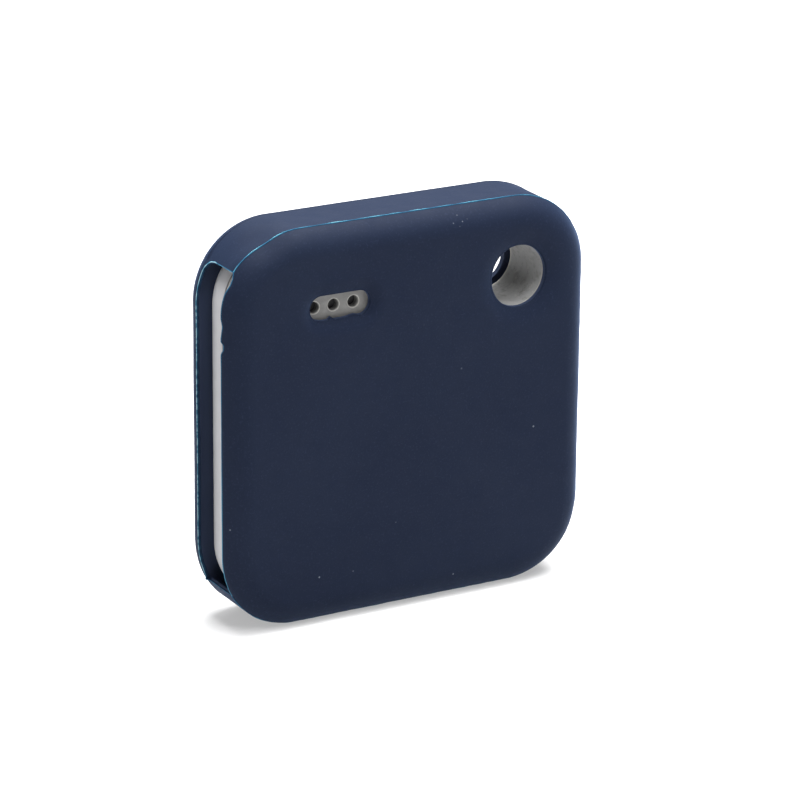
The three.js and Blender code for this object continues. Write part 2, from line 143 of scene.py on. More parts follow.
class Surface:
    """Patches of a surface that are welded into one closed mesh."""

    def __init__(self):
        self.points, self.marks, self.faces, self.count = [], [], [], 0

    def add(self, points, faces, mark=0.0):
        points = np.asarray(points, float).reshape(-1, 3)
        self.points.append(points)
        self.marks.append(np.broadcast_to(np.asarray(mark, float).reshape(-1), (len(points),)))
        self.faces += [tuple(int(i) + self.count for i in face) for face in faces]
        self.count += len(points)

    def grid(self, rows, keep=None, closed=True, mark=0.0):
        """Quads between (rows, columns, 3) points. Keep says which of them are made."""
        rows = np.asarray(rows, float)
        height, width = rows.shape[:2]
        faces = []
        for i in range(height - 1):
            this, after = i * width, (i + 1) * width
            for j in range(width if closed else width - 1):
                if keep is None or keep[i, j]:
                    k = (j + 1) % width
                    faces.append((this + j, this + k, after + k, after + j))
        marks = np.broadcast_to(np.asarray(mark, float), (height, width))
        self.add(rows.reshape(-1, 3), faces, marks)

    def welded(self):
        """(points, faces, marks) with points that coincide joined and folded faces dropped."""
        points, marks = np.concatenate(self.points), np.concatenate(self.marks)
        keys = np.round(points / SAME_PLACE).astype(np.int64)
        _, first, place = np.unique(keys, axis=0, return_index=True, return_inverse=True)
        place = place.reshape(-1)
        faces = []
        for face in self.faces:
            ids = [int(place[i]) for i in face]
            ids = [v for n, v in enumerate(ids) if v != ids[n - 1]]
            if len(set(ids)) == len(ids) >= 3:
                faces.append(ids)
        return points[first], faces, marks[first]

    def build(self, name, material, body, replaces, sharp=38, shape=None):
        """The finished piece. Shape moves its points, and sharp is an angle in degrees."""
        points, faces, marks = self.welded()
        if shape is not None:
            points = shape(points)
        mesh = bpy.data.meshes.new(name)
        metres = points * MM + np.array([0, 0, MIDDLE * MM])
        mesh.from_pydata(metres.tolist(), [], faces)
        edge_mark = mesh.attributes.new("edge_mark", "FLOAT", "POINT")
        edge_mark.data.foreach_set("value", marks.astype(np.float32))
        work = bmesh.new()
        work.from_mesh(mesh)
        bmesh.ops.recalc_face_normals(work, faces=work.faces)
        work.to_mesh(mesh)
        work.free()
        mesh.shade_smooth()
        mesh.set_sharp_from_angle(angle=math.radians(sharp))
        mesh.materials.append(material)
        piece = new_object(name, mesh)
        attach(piece, body)
        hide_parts(*replaces)
        return piece


# -------- outlines
class Outline:
    """Columns round a square with round corners: core points, each with a direction out."""

    def __init__(self, half, corner, straight, turn, fine_left=None, fine_angles=()):
        """Columns are straight mm apart (fine_left on the left) and turn degrees in a corner."""
        self.corner = corner
        core = half - corner
        centres = core * np.array([(1, 1), (-1, 1), (-1, -1), (1, -1)])
        cores, angles = [], []
        for side in range(4):
            start, end, first = centres[side - 1], centres[side], side * math.pi / 2
            count = max(2, round(2 * core / (fine_left if side == 2 and fine_left else straight)))
            cores += [start + (end - start) * (n / count) for n in range(count)]
            angles += [first] * count
            turns = set(np.round(np.radians(np.arange(0, 90, turn)) + first, 6))
            turns |= {round(a, 6) for a in fine_angles if first < a < first + math.pi / 2}
            cores += [end] * len(turns)
            angles += sorted(turns)
        self.cores, self.angles = np.array(cores), np.array(angles)
        self.out = np.stack([np.cos(self.angles), np.sin(self.angles)], axis=1)
        self.count = len(self.cores)

    def ring(self, inset, y):
        """The outline moved in by inset, at y. Each is one number or one for each column."""
        reach = (self.corner - np.broadcast_to(inset, (self.count,)))[:, None]
        return at_height(self.cores + reach * self.out, y)

    def rows(self, profile):
        """The outline at each (inset, y) of a profile."""
        return np.array([self.ring(inset, y) for inset, y in profile])


def circle(x, z, radius, count=72, taller=0.0):
    """A hole's outline as a function of how much it is grown. Taller stretches it along Z."""
    turn = np.linspace(0, 2 * math.pi, count, endpoint=False)
    high = radius + taller

    def loop(grow=0.0):
        across, up = (radius + grow) * np.cos(turn), (high + grow) * np.sin(turn)
        return np.stack([x + across, z + up], axis=1)

    loop.distance = lambda p: np.hypot(p[:, 0] - x, (p[:, 1] - z) * radius / high) - radius
    return loop


def sound_slot():
    """The slot over the sound holes, with a burr and a shallow step left on its lower edge."""
    radius, run, count = SLOT_HEIGHT / 2, (SLOT_LENGTH - SLOT_HEIGHT) / 2, 120
    burrs = [(-8.02, 0.24, 0.20), (-5.75, 0.14, 0.55), (-9.35, 0.05, 0.35)]  # x, height and width
    burr_fade = 0.6  # how far from the slot's edge the burrs are gone
    total = 4 * run + 2 * math.pi * radius

    def point(share, grow):
        along = share * total
        if along < 2 * run:
            return -run + along, radius + grow
        along -= 2 * run
        if along < math.pi * radius:
            angle = math.pi / 2 - along / radius
            return run + (radius + grow) * math.cos(angle), (radius + grow) * math.sin(angle)
        along -= math.pi * radius
        if along < 2 * run:
            return run - along, -(radius + grow)
        angle = -math.pi / 2 - (along - 2 * run) / radius
        return -run + (radius + grow) * math.cos(angle), (radius + grow) * math.sin(angle)

    def loop(grow=0.0):
        points = []
        for n in range(count):
            x, z = point(n / count, grow)
            x, z = x + SLOT_X, z + SLOT_Z
            if z < SLOT_Z - 0.5:
                fade = max(0.0, 1 - abs(grow) / burr_fade)
                up = sum(rise * math.exp(-(((x - at) / width) ** 2)) for at, rise, width in burrs)
                z += fade * up
            points.append((x, z))
        return np.array(points)

    def distance(p):
        beyond = np.maximum(np.abs(p[:, 0] - SLOT_X) - run, 0)
        return np.hypot(beyond, p[:, 1] - SLOT_Z) - radius

    loop.distance = distance
    return loop


def inside(loop, points):
    """Which points lie in a closed loop."""
    x, z = points[:, 0], points[:, 1]
    odd = np.zeros(len(points), bool)
    for (ax, az), (bx, bz) in zip(loop, np.roll(loop, -1, axis=0)):
        if az != bz:
            crosses = (az > z) != (bz > z)
            odd ^= crosses & (x < (bx - ax) * (z - az) / (bz - az) + ax)
    return odd


def distance_to(loop, points):
    """How far each point is from a closed loop."""
    nearest = np.full(len(points), 1e9)
    for a, b in zip(loop, np.roll(loop, -1, axis=0)):
        run = b - a
        share = np.clip(((points - a) @ run) / max(run @ run, 1e-12), 0, 1)
        nearest = np.minimum(nearest, np.linalg.norm(points - (a + share[:, None] * run), axis=1))
    return nearest


def lattice_in(loop, spacing, edges):
    """A triangular lattice of points in a loop, clear of it and of the loops in edges."""
    low, high = loop.min(axis=0), loop.max(axis=0)
    xs, zs = np.arange(low[0], high[0], spacing), np.arange(low[1], high[1], spacing * 0.87)
    lattice = np.array([(x + (n % 2) * spacing / 2, z) for n, z in enumerate(zs) for x in xs])
    lattice = lattice[inside(loop, lattice)]
    lattice = lattice[distance_to(loop, lattice) > spacing * 0.5]
    for edge in edges:
        lattice = lattice[~inside(edge, lattice)]
        lattice = lattice[distance_to(edge, lattice) > spacing * 0.45]
    return lattice


def filled(loop, holes, spacing, rings=(), more=()):
    """Triangles that fill a loop but not its holes, by way of rings and more: (points, faces)."""
    lattice = lattice_in(loop, spacing, [*holes, *rings])
    rings = [ring[inside(loop, ring) & (distance_to(loop, ring) > 0.12)] for ring in rings]
    if len(more):
        clear = [np.abs(more - point).sum(axis=1).min() > spacing / 2 for point in lattice]
        lattice = np.concatenate([more, lattice[clear]])
    fixed = [loop, *holes]
    points = np.concatenate([*fixed, *rings, lattice])
    edges, start = [], 0
    for edge in fixed:
        edges += [(start + n, start + (n + 1) % len(edge)) for n in range(len(edge))]
        start += len(edge)
    made = delaunay_2d_cdt([Vector(p) for p in points], edges, [], 0, 1e-6)
    flat, faces = np.array([tuple(v) for v in made[0]]), np.array(made[2])
    centres = flat[faces].mean(axis=1)
    good = inside(loop, centres)
    for hole in holes:
        good &= ~inside(hole, centres)
    return flat, faces[good]


# -------- the silicone sleeve
RIM_STEPS = 12  # from the parting line to a panel
NEAR_LIP = [  # how far the lip nearest the back is trimmed back, from its bottom up: (z, length)
    (-15.3, 0.02), (7.2, 0.03), (8.05, 0.13), (8.4, 0.33), (8.9, 0.33), (9.05, 0.08), (9.2, 0.03),
    (9.6, 0.12), (10.5, 0.25), (11.4, 0.08), (12.6, 0.10), (13.5, 0.14), (14.0, 0.27), (14.4, 0.35),
    (14.9, 0.30), (15.3, 0.10),
]
SLEEVE_OUTLINE = dict(
    straight=0.5, turn=2.5, fine_left=0.16, fine_angles=np.concatenate([
        MOUTH_TOP + np.radians([-6, -4.5, -3, -2, -1, 0, 0.8, 1.6, 2.6, 3.8, 5.2, 7, 9, 11]),
        MOUTH_BOTTOM + np.radians([-5, -3.5, -2.4, -1.6, -0.8, 0, 1, 2, 3.5, 5]),
    ]),
)


def mouth_share(angle):
    """For each column, 1 in the mouth and falling to 0 a little way past its ends."""
    fade = 2.2
    past = np.where(angle < math.pi, MOUTH_TOP - angle, angle - MOUTH_BOTTOM)
    return 1 - smoothstep(np.maximum(past, 0) * CORNER / fade)


def panel_height(flat, side, holes):
    """How far the outside of a panel is from the middle, dished in round its holes."""
    dish = np.zeros(len(flat))
    for hole, depth, width, *_ in holes:
        dish = np.maximum(dish, depth * np.clip(1 - hole.distance(flat) / width, 0, 1) ** 1.8)
    return side * (FACE - dish)


def sleeve_panel(surface, side, outer_loop, inner_loop):
    """One flat panel with its holes: outside, inside and the rounded walls of the holes."""
    # Each hole with its dish's depth and width, its edge's rounding and its wall's mark. A mark
    # below 0 is painted light: it lightens the key-ring holes' walls as if light reached into them.
    if side < 0:
        key = circle(CORE + 0.02, CORE - 0.02, KEY_HOLE, taller=0.15)
        holes = [(key, 0.5, 1.7, 0.24, -0.3), (sound_slot(), 0.55, 1.3, 0.08, 0.0)]
    else:
        key = circle(CORE - 0.08, CORE - 0.12, KEY_HOLE_FAR)
        holes = [(key, 0.4, 1.85, 0.14, -0.2), (circle(0, 0, WINDOW, 120), 0.5, 1.9, 0.25, 0.0)]
    widening = (0.12, 0.26, 0.42, 0.62, 0.86, 1.14, 1.45)
    rings = [hole(soft + grow) for hole, _, _, soft, _ in holes for grow in widening]
    flat, faces = filled(outer_loop, [hole(soft) for hole, _, _, soft, _ in holes], 0.9, rings)
    surface.add(at_height(flat, panel_height(flat, side, holes)), faces)
    flat, faces = filled(inner_loop, [hole(0) for hole, *_ in holes], 2.0)
    # Mark -1 paints light on the pocket's face, a lighter colour that stands in for light inside
    # the sleeve.
    surface.add(at_height(flat, side * POCKET), faces, -1.0)
    for hole, _, _, soft, wall_light in holes:
        start = panel_height(hole(soft), side, holes)
        depth = np.minimum(soft, np.abs(start - side * POCKET) * 0.8)
        rows = []
        for step in range(9):
            turn = math.pi / 2 * step / 8
            sunk = side * depth * (1 - math.cos(turn))
            rows.append(at_height(hole(soft * (1 - math.sin(turn))), start - sunk))
        rows.append(at_height(hole(0), side * POCKET))
        surface.grid(rows, mark=wall_light * np.array([0.0] * 7 + [0.4, 1.0, 1.0])[:, None])


def far_lip_edge(below_top, lip_noise):
    """How far along the far lip's edge is. It drops round the mouth's upper corner."""
    corner = 1.35
    drop = corner - np.sqrt(np.clip(corner**2 - np.clip(corner - below_top, 0, None) ** 2, 0, None))
    relax = np.exp(np.minimum(below_top, 0) / 1.5)
    return PARTING - 0.2 - np.where(below_top >= 0, drop, corner * relax) + 0.035 * lip_noise


def relaxed(points):
    """Silicone is never quite true: a slow wave, a sag above the mouth and a full closed end."""
    sag_angle, sag_width, sag_depth = math.radians(115), math.radians(17), 0.34
    wave, fullness = 0.035, 0.2
    moved = points.copy()
    for n, (x, y, z) in enumerate(points):
        moved[n, 1] += wave * wobble(x * 0.16 + 5, y * 0.3, z * 0.16)
    turn = np.arctan2(points[:, 2] - CORE, points[:, 0] + CORE)
    away = np.hypot(points[:, 0] + CORE, points[:, 2] - CORE) / CORNER
    sag = np.exp(-(((turn - sag_angle) / sag_width) ** 2)) * smoothstep((away - 0.45) / 0.5)
    sag *= smoothstep((1.2 - points[:, 1]) / 3.4) * (points[:, 0] < 0) * (points[:, 2] > 0)
    moved[:, 0] -= sag_depth * sag * np.cos(turn)
    moved[:, 2] -= sag_depth * sag * np.sin(turn)
    moved[:, 0] += fullness * smoothstep((points[:, 0] - CORE + 2.5) / CORNER)
    moved[:, 2] -= 1.5 * fullness * smoothstep((-points[:, 2] - CORE) / (CORNER / 2))
    return moved


class SleeveRows:
    """The sleeve's rows from the back panel to the front one: outside, inside and marks."""

    def __init__(self, outline):
        self.outline, self.outer, self.inner, self.marks = outline, [], [], []
        angle, place = outline.angles, outline.ring(0, 0)
        height = place[:, 2]
        self.in_mouth = (angle >= MOUTH_TOP - 1e-6) & (angle <= MOUTH_BOTTOM + 1e-6)
        self.base = WALL + (LIP - WALL) * mouth_share(angle)
        self.below_top = (angle - MOUTH_TOP) * CORNER
        self.lip_noise = np.array([wobble(z * 1.7, 3.1) for z in height])
        self.flash_noise = np.array([wobble(x * 0.9, 7.7, z * 0.9) for x, _, z in place])
        fine_noise = np.array([wobble(x * 4.2, 1.3, z * 4.2) for x, _, z in place])
        self.flash = np.clip(0.07 + 0.03 * self.flash_noise + 0.015 * fine_noise, 0.03, 0.12)
        # Painted highlight: lip_bright and the dashes are marks that lighten the lips' edges and
        # the far lip's flash to bright blues.
        self.lip_bright = 0.6 + 0.25 * smoothstep((2 - height) / 8)
        dash_noise = np.array([wobble(z * 3.6, 9.4) for z in height])
        self.dashes = 1.1 + 0.9 * smoothstep(dash_noise * 2.2 + 0.45)
        burr_width = 0.22  # a burr at the mouth's lower end
        self.burr = 0.2 * np.exp(-((((angle - MOUTH_BOTTOM) * CORNER + 0.1) / burr_width) ** 2))
        trim = np.interp(height, *zip(*NEAR_LIP))
        trimmed = np.clip((trim + 0.02 * self.lip_noise) / RIM_DEPTH, 0, 0.9)
        foot = 0.03  # where the rounding stops short of the parting line
        near_start = np.maximum(np.where(self.in_mouth, 1 - np.sqrt(1 - trimmed), 0.0), foot)
        self.start = {-1: near_start, 1: foot * np.ones(outline.count)}

    def put(self, inset, y, inner_inset, inner_y, mark=0.0):
        self.outer.append(self.outline.ring(inset, y))
        self.inner.append(self.outline.ring(inner_inset, inner_y))
        self.marks.append(np.broadcast_to(mark, (self.outline.count,)))

    def rounding(self, side, order):
        """The rows between the parting line (step 0) and a panel, in order."""
        first = self.start[side]
        for step in order:
            inset, depth = rim(first + (1 - first) * step / RIM_STEPS, side)
            turn = first + (math.pi / 2 - first) * step / RIM_STEPS
            inner_inset = self.base + (RIM_INSET - self.base) * (1 - np.cos(turn))
            inner_depth = (POCKET - PARTING) * np.sin(turn)
            at_start = rim(first, side)[1] - (POCKET - PARTING) * np.sin(first)
            inner_depth = inner_depth + at_start * (1 - step / RIM_STEPS)
            self.put(inset, side * (PARTING + depth), inner_inset, side * (PARTING + inner_depth))

    def ridge(self, side):
        """The groove and the thin proud line of flash where the two halves of the mould met."""
        inset, depth = rim(self.start[side], side)
        rise = self.flash * (1.0 if side < 0 else 0.4) * np.where(self.in_mouth, 0.4, 1.0)
        groove = np.where(self.in_mouth, 0.0, 0.05)
        # bright and edge are marks that paint a highlight on the flash line and on the near lip's
        # edge.
        bright, edge = 0.0, 0.0
        if side < 0:
            uneven = np.clip(0.75 + 0.5 * self.flash_noise, 0.3, 1.1)
            bright = np.where(self.in_mouth, self.lip_bright, uneven)
            edge = np.where(self.in_mouth, self.lip_bright * 0.85, 0.0)
        rows = [(groove, -0.05, edge), (-rise, -0.09, bright)]
        rows += [(-rise, -0.14, bright), (0, -0.18, edge)]
        for row_inset, row_depth, mark in rows if side < 0 else rows[::-1]:
            y = side * (PARTING + depth + row_depth)
            self.put(inset + row_inset, y, self.base + inset, y, mark)

    def band(self):
        """The side between the near lip and the far one, whose edge is the last row."""
        # end_mark and burr_mark paint a highlight on the mouth's two cut ends and on its burr.
        steps, end_mark, burr_mark = 8, 0.9, 6
        mouth_end = np.zeros(self.outline.count, bool)
        mouth_end[np.flatnonzero(self.in_mouth)[[0, -1]]] = True
        start_y = self.outer[-1][:, 1]
        far_y = far_lip_edge(self.below_top, self.lip_noise * self.in_mouth)
        for step in range(1, steps + 1):
            y = start_y + (far_y - start_y) * step / steps
            at_lip = step == steps
            mark = np.maximum(self.dashes * self.in_mouth, burr_mark * self.burr) if at_lip else 0.0
            mark = np.where(mouth_end, np.maximum(end_mark, mark), mark)
            self.put(-self.burr if at_lip else 0.0, y, self.base, y, mark)

    def past_lip(self):
        """The rows between the far lip's edge and the parting line."""
        steps, end_y = 3, PARTING - 0.11
        far_y = self.outer[-1][:, 1]
        for step in range(1, steps):
            y = far_y + (end_y - far_y) * step / steps
            self.put(0.0, y, self.base, y)


def mouth_faces(surface, rows, near, far):
    """The lips' edges, and the cut faces at the two ends of the mouth."""
    first, last = np.flatnonzero(rows.in_mouth)[[0, -1]]
    across = 0.25  # where the row between the outside and the inside is
    # These marks paint a faint highlight on the lips' cut faces.
    plain_mark, dash_mark = 0.12, 0.13

    def face(outside, within, mark=0.0):
        between = outside + (within - outside) * across
        surface.grid([outside, between, within], closed=False, mark=mark)

    columns = slice(first, last + 1)
    for row in (near, far):
        marks = np.full((3, last + 1 - first), plain_mark)
        if row == far:
            marks[1] = dash_mark * rows.dashes[columns]
        face(rows.outer[row][columns], rows.inner[row][columns], marks)
    for column in (first, last):
        face(rows.outer[near : far + 1, column], rows.inner[near : far + 1, column])


def make_sleeve(material):
    rows = SleeveRows(Outline(HALF, CORNER, **SLEEVE_OUTLINE))
    rows.rounding(-1, range(RIM_STEPS, -1, -1))
    rows.ridge(-1)
    near = len(rows.outer) - 1
    rows.band()
    far = len(rows.outer) - 1
    rows.past_lip()
    rows.ridge(1)
    rows.rounding(1, range(0, RIM_STEPS + 1))
    rows.outer, rows.inner, marks = np.array(rows.outer), np.array(rows.inner), np.array(rows.marks)

    keep = np.ones((len(marks) - 1, rows.outline.count), bool)
    keep[near:far, rows.in_mouth & np.roll(rows.in_mouth, -1)] = False
    # The inside of the sleeve gets mark -1, painted light that lightens it as if lit; the lips'
    # inner edges in the mouth get 0.1, a faint painted highlight.
    inner_marks = np.full(marks.shape, -1.0)
    inner_marks[[near, far]] = np.where(rows.in_mouth, 0.1, -1.0)
    surface = Surface()
    surface.grid(rows.outer, keep, mark=marks)
    surface.grid(rows.inner, keep, mark=inner_marks)
    mouth_faces(surface, rows, near, far)
    for side, row in ((-1, 0), (1, -1)):
        sleeve_panel(surface, side, rows.outer[row][:, [0, 2]], rows.inner[row][:, [0, 2]])
    surface.build(
        "sleeve_moulding", material, "sleeve", ["silicone_sleeve"],
        sharp=50, shape=relaxed,
    )


# -------- materials
class Nodes:
    """A short way to write a node material."""

    def __init__(self, name):
        self.material = bpy.data.materials.new(name)
        self.material.use_nodes = True
        self.tree = self.material.node_tree
        self.tree.nodes.clear()
        output = self.new("OutputMaterial")
        self.shader = self.new("BsdfPrincipled")
        self.link(self.shader.outputs[0], output.inputs[0])
        self.place = self.new("TexCoord").outputs["Object"]

    def new(self, kind, **inputs):
        """A new node, and what its input sockets are set to."""
        node = self.tree.nodes.new("ShaderNode" + kind)
        for name, value in inputs.items():
            node.inputs[name].default_value = value
        return node

    def link(self, source, target):
        self.tree.links.new(source, target)

    def set(self, **values):
        for name, value in values.items():
            self.shader.inputs[name.replace("_", " ")].default_value = value

    def scaled(self, per_mm, stretch=(1, 1, 1)):
        """The place on the piece, in units of which per_mm make a millimetre."""
        mapping = self.new("Mapping", Scale=[s * per_mm / MM for s in stretch])
        self.link(self.place, mapping.inputs["Vector"])
        return mapping.outputs[0]

    def noise(self, per_mm, detail=3.0, roughness=0.5, stretch=(1, 1, 1)):
        """Noise with per_mm features to a millimetre."""
        node = self.new("TexNoise", Scale=1.0, Detail=detail, Roughness=roughness)
        self.link(self.scaled(per_mm, stretch), node.inputs["Vector"])
        return node.outputs["Fac"]

    def cells(self, per_mm, metric="EUCLIDEAN"):
        """The distance to the nearest of per_mm random points to a millimetre."""
        node = self.new("TexVoronoi", Scale=1.0)
        node.distance = metric
        self.link(self.scaled(per_mm), node.inputs["Vector"])
        return node.outputs["Distance"]

    def specks(self, per_mm, size):
        """1 in small sparse round spots and 0 elsewhere."""
        return self.remap(self.cells(per_mm), size, size * 0.5)

    def near(self, x, z, reach):
        """1 close to a point of the back face, and 0 from reach on."""
        node = self.new("VectorMath")
        node.operation = "DISTANCE"
        node.inputs[1].default_value = (x * MM, -FACE * MM, (z + MIDDLE) * MM)
        self.link(self.place, node.inputs[0])
        return self.remap(node.outputs["Value"], reach * MM, reach * 0.7 * MM)

    def remap(self, value, low, high, to_low=0.0, to_high=1.0):
        """A value's range from low to high stretched to another range and held at its ends."""
        limits = {"From Min": low, "From Max": high, "To Min": to_low, "To Max": to_high}
        node = self.new("MapRange", **limits)
        self.link(value, node.inputs["Value"])
        return node.outputs[0]

    def mark_between(self, low, high, strength=1.0):
        """How far the piece's edge mark is from low to high, times strength."""
        return self.remap(self.mark(), low, high, 0.0, strength)

    def feed(self, socket, value):
        """Set a socket to a number or a colour, or link another socket to it."""
        if isinstance(value, (int, float)):
            socket.default_value = value
        elif isinstance(value, tuple):
            socket.default_value = (*value, 1.0)
        else:
            self.link(value, socket)

    def math(self, operation, a, b):
        node = self.new("Math")
        node.operation = operation
        self.feed(node.inputs[0], a)
        self.feed(node.inputs[1], b)
        return node.outputs[0]

    def mark(self):
        """The piece's edge mark: above 0 it paints highlights on flashed, cut and rim edges (and
        wear or the rear frame's cream tone); below 0 it paints shade in seams and holes, and light
        inside the sleeve.
        """
        node = self.new("Attribute")
        node.attribute_name = "edge_mark"
        return node.outputs["Fac"]

    def mix(self, factor, first, second):
        """A colour between first and second, each a colour or a socket."""
        node = self.new("Mix")
        node.data_type = "RGBA"
        self.link(factor, node.inputs["Factor"])
        self.feed(node.inputs[6], first)
        self.feed(node.inputs[7], second)
        return node.outputs[2]

    def bump(self, layers):
        """Bump from (height, depth in mm) layers."""
        normal = None
        for height, depth in layers:
            node = self.new("Bump", Strength=1.0, Distance=depth * MM)
            self.link(height, node.inputs["Height"])
            if normal is not None:
                self.link(normal, node.inputs["Normal"])
            normal = node.outputs[0]
        self.link(normal, self.shader.inputs["Normal"])

    def colour(self, socket):
        self.link(socket, self.shader.inputs["Base Color"])

    def roughness(self, noise, low, high):
        """Roughness from low to high, in patches."""
        self.link(self.remap(noise, 0.3, 0.7, low, high), self.shader.inputs["Roughness"])


def silicone_material():
    m = Nodes("navy_silicone")
    m.set(Specular_IOR_Level=0.06)
    m.set(Sheen_Weight=0.16, Sheen_Roughness=0.4, Sheen_Tint=(0.30, 0.50, 1.0, 1.0))
    cloud = m.remap(m.noise(0.09, 2.0), 0.3, 0.7)
    body = m.mix(cloud, (0.0078, 0.0122, 0.0270), (0.0092, 0.0141, 0.0298))
    grain = m.noise(5.0, 3.0, 0.6)
    body = m.mix(m.remap(grain, 0.55, 0.8, 0.0, 0.35), body, (0.028, 0.038, 0.075))
    dust = m.math("MULTIPLY", m.specks(0.42, 0.05), m.remap(m.noise(0.25, 1.0), 0.58, 0.64))
    cluster = m.math("MULTIPLY", m.specks(2.2, 0.17), m.near(4.9, 17.4, 1.0))
    dust = m.math("MAXIMUM", dust, cluster)
    for x, z in ((-9.5, -14.2), (-3.5, 11.0)):
        dust = m.math("MAXIMUM", dust, m.near(x, z, 0.1))
    body = m.mix(m.math("MULTIPLY", dust, 0.45), body, (0.22, 0.25, 0.30))
    # Painted light: below 0 the mark lightens the sleeve's inside and the key-ring holes' walls,
    # standing in for light in the cavity.
    body = m.mix(m.mark_between(0.0, -1.0), body, (0.042, 0.055, 0.098))
    # Painted highlight: above 0 the mark lightens the flash ridge, the lips' edges, the dashes and
    # the burr to blue, cyan and pale cyan, standing in for light caught on them.
    body = m.mix(m.mark_between(0.08, 0.7, 0.9), body, (0.022, 0.125, 0.23))
    body = m.mix(m.mark_between(0.7, 1.0, 0.8), body, (0.13, 0.38, 0.48))
    m.colour(m.mix(m.mark_between(1.0, 1.4, 0.8), body, (0.46, 0.64, 0.68)))
    m.roughness(m.noise(0.6, 3.0), 0.58, 0.68)
    m.bump([(m.noise(0.5, 2.0), 0.004), (grain, 0.010)])
    return m.material


def white_plastic_material():
    m = Nodes("white_plastic")
    m.set(Specular_IOR_Level=0.5)
    soil = m.remap(m.noise(0.35, 4.0, 0.6), 0.35, 0.7, 0.0, 0.22)
    body = m.mix(soil, (0.41, 0.41, 0.424), (0.33, 0.32, 0.31))
    # Painted shade: below 0 the mark darkens the faces in the seam gap between the front shell and
    # the rear frame.
    body = m.mix(m.mark_between(0.0, -1.0, 0.9), body, (0.050, 0.038, 0.032))
    m.colour(m.mix(m.mark_between(0.0, 1.0), body, (0.40, 0.365, 0.31)))
    m.roughness(m.noise(1.2, 3.0), 0.34, 0.46)
    m.bump([(m.noise(7.0, 2.0), 0.004), (m.noise(0.4, 2.0), 0.006)])
    return m.material


def grey_plastic_material():
    m = Nodes("grey_plastic")
    m.set(Specular_IOR_Level=0.5)
    cloud = m.remap(m.noise(0.45, 4.0, 0.6), 0.3, 0.7)
    body = m.mix(cloud, (0.140, 0.139, 0.134), (0.180, 0.178, 0.172))
    scuff = m.remap(m.noise(1.1, 5.0, 0.7, (1, 0.5, 1)), 0.54, 0.70, 0.0, 0.35)
    rub = m.remap(m.noise(1.3, 5.0, 0.65, (0.5, 1, 1)), 0.56, 0.74, 0.0, 0.25)
    body = m.mix(rub, body, (0.27, 0.275, 0.28))
    body = m.mix(scuff, body, (0.11, 0.11, 0.108))
    in_tube = m.mark_between(0.28, 0.35)
    grime = m.remap(m.noise(1.0, 6.0, 0.75), 0.50, 0.66, 0.0, 0.65)
    chalk = m.remap(m.noise(1.9, 4.0, 0.7), 0.56, 0.68, 0.0, 0.5)
    # Painted light: the tube's inside is lightened by half toward a paler grey, as if lit; the
    # grime and chalk below are scuffs.
    body = m.mix(m.math("MULTIPLY", in_tube, 0.5), body, (0.27, 0.28, 0.30))
    body = m.mix(m.math("MULTIPLY", in_tube, grime), body, (0.055, 0.055, 0.055))
    body = m.mix(m.math("MULTIPLY", in_tube, chalk), body, (0.32, 0.31, 0.30))
    # Painted shade: below 0 the mark darkens the sound holes' walls toward black with depth.
    body = m.mix(m.mark_between(0.0, -1.0), body, (0.012, 0.012, 0.013))
    # Painted highlight: from 0.2 up the mark lightens the rims of the sound holes and the tube
    # toward cream.
    m.colour(m.mix(m.mark_between(0.2, 1.0, 0.7), body, (0.52, 0.50, 0.44)))
    m.roughness(m.noise(0.9, 4.0), 0.55, 0.72)
    m.bump([(m.noise(6.0, 2.0), 0.006), (scuff, 0.004)])
    return m.material


# -------- the tracker's housing
def carve(piece, operation, low, high, bevel=0.0):
    """Cut a box out of a piece, or keep only what is in it."""
    work = bmesh.new()
    bmesh.ops.create_cube(work, size=1.0)
    low, high = np.array(low), np.array(high)
    for vertex in work.verts:
        corner = (low + high) / 2 + np.array(vertex.co) * (high - low)
        vertex.co = Vector(corner) * MM + Vector((0, 0, MIDDLE * MM))
    if bevel:
        bmesh.ops.bevel(
            work, geom=work.edges[:], offset=bevel * MM, segments=4, profile=0.5, affect="EDGES"
        )
    cutter = new_object("cutter", bpy.data.meshes.new("cutter"))
    work.to_mesh(cutter.data)
    work.free()
    cut = piece.modifiers.new("carve", "BOOLEAN")
    cut.operation, cut.object, cut.solver = operation, cutter, "EXACT"
    bpy.context.view_layer.update()
    evaluated = piece.evaluated_get(bpy.context.evaluated_depsgraph_get())
    carved = bpy.data.meshes.new_from_object(evaluated)
    piece.modifiers.remove(cut)
    bpy.data.objects.remove(cutter)
    carved.name = piece.data.name
    piece.data = carved
    clean(carved)


def clean(mesh):
    """A carved mesh without its slivers, and with its shading set again."""
    work = bmesh.new()
    work.from_mesh(mesh)
    bmesh.ops.remove_doubles(work, verts=work.verts, dist=SAME_PLACE * MM)
    bmesh.ops.dissolve_degenerate(work, dist=SAME_PLACE * MM, edges=work.edges)
    work.to_mesh(mesh)
    work.free()
    mesh.shade_smooth()
    mesh.set_sharp_from_angle(angle=math.radians(30))


def shell_outline():
    return Outline(TRACKER_HALF, TRACKER_CORNER, straight=0.7, turn=3.0)


def quarter(radius, from_y, steps, start=0.0):
    """Rows of a rounding that begins on the side at from_y and turns in toward the front."""
    rows = []
    for step in range(steps + 1):
        turn = math.pi / 2 * step / steps
        rows.append((start + radius * (1 - math.cos(turn)), from_y + radius * math.sin(turn)))
    return rows


def shell_face(flat, key, flare, drop):
    """The front face's height: flat, rounded at its edge and flared down into the key-ring hole."""
    beyond = np.maximum(np.abs(flat) - (TRACKER_HALF - TRACKER_CORNER), 0)
    reach = np.hypot(beyond[:, 0], beyond[:, 1])
    past = np.clip(FRONT_ROUND - TRACKER_CORNER + reach, 0, FRONT_ROUND)
    rounded = FRONT_FACE - FRONT_ROUND + np.sqrt(FRONT_ROUND**2 - past**2)
    away = key.distance(flat)
    flared = FRONT_FACE - drop * (1 - np.sqrt(np.clip(away / flare, 0, 1)))
    return np.where(away < ON_LINE, TUBE_END, np.minimum(rounded, flared))


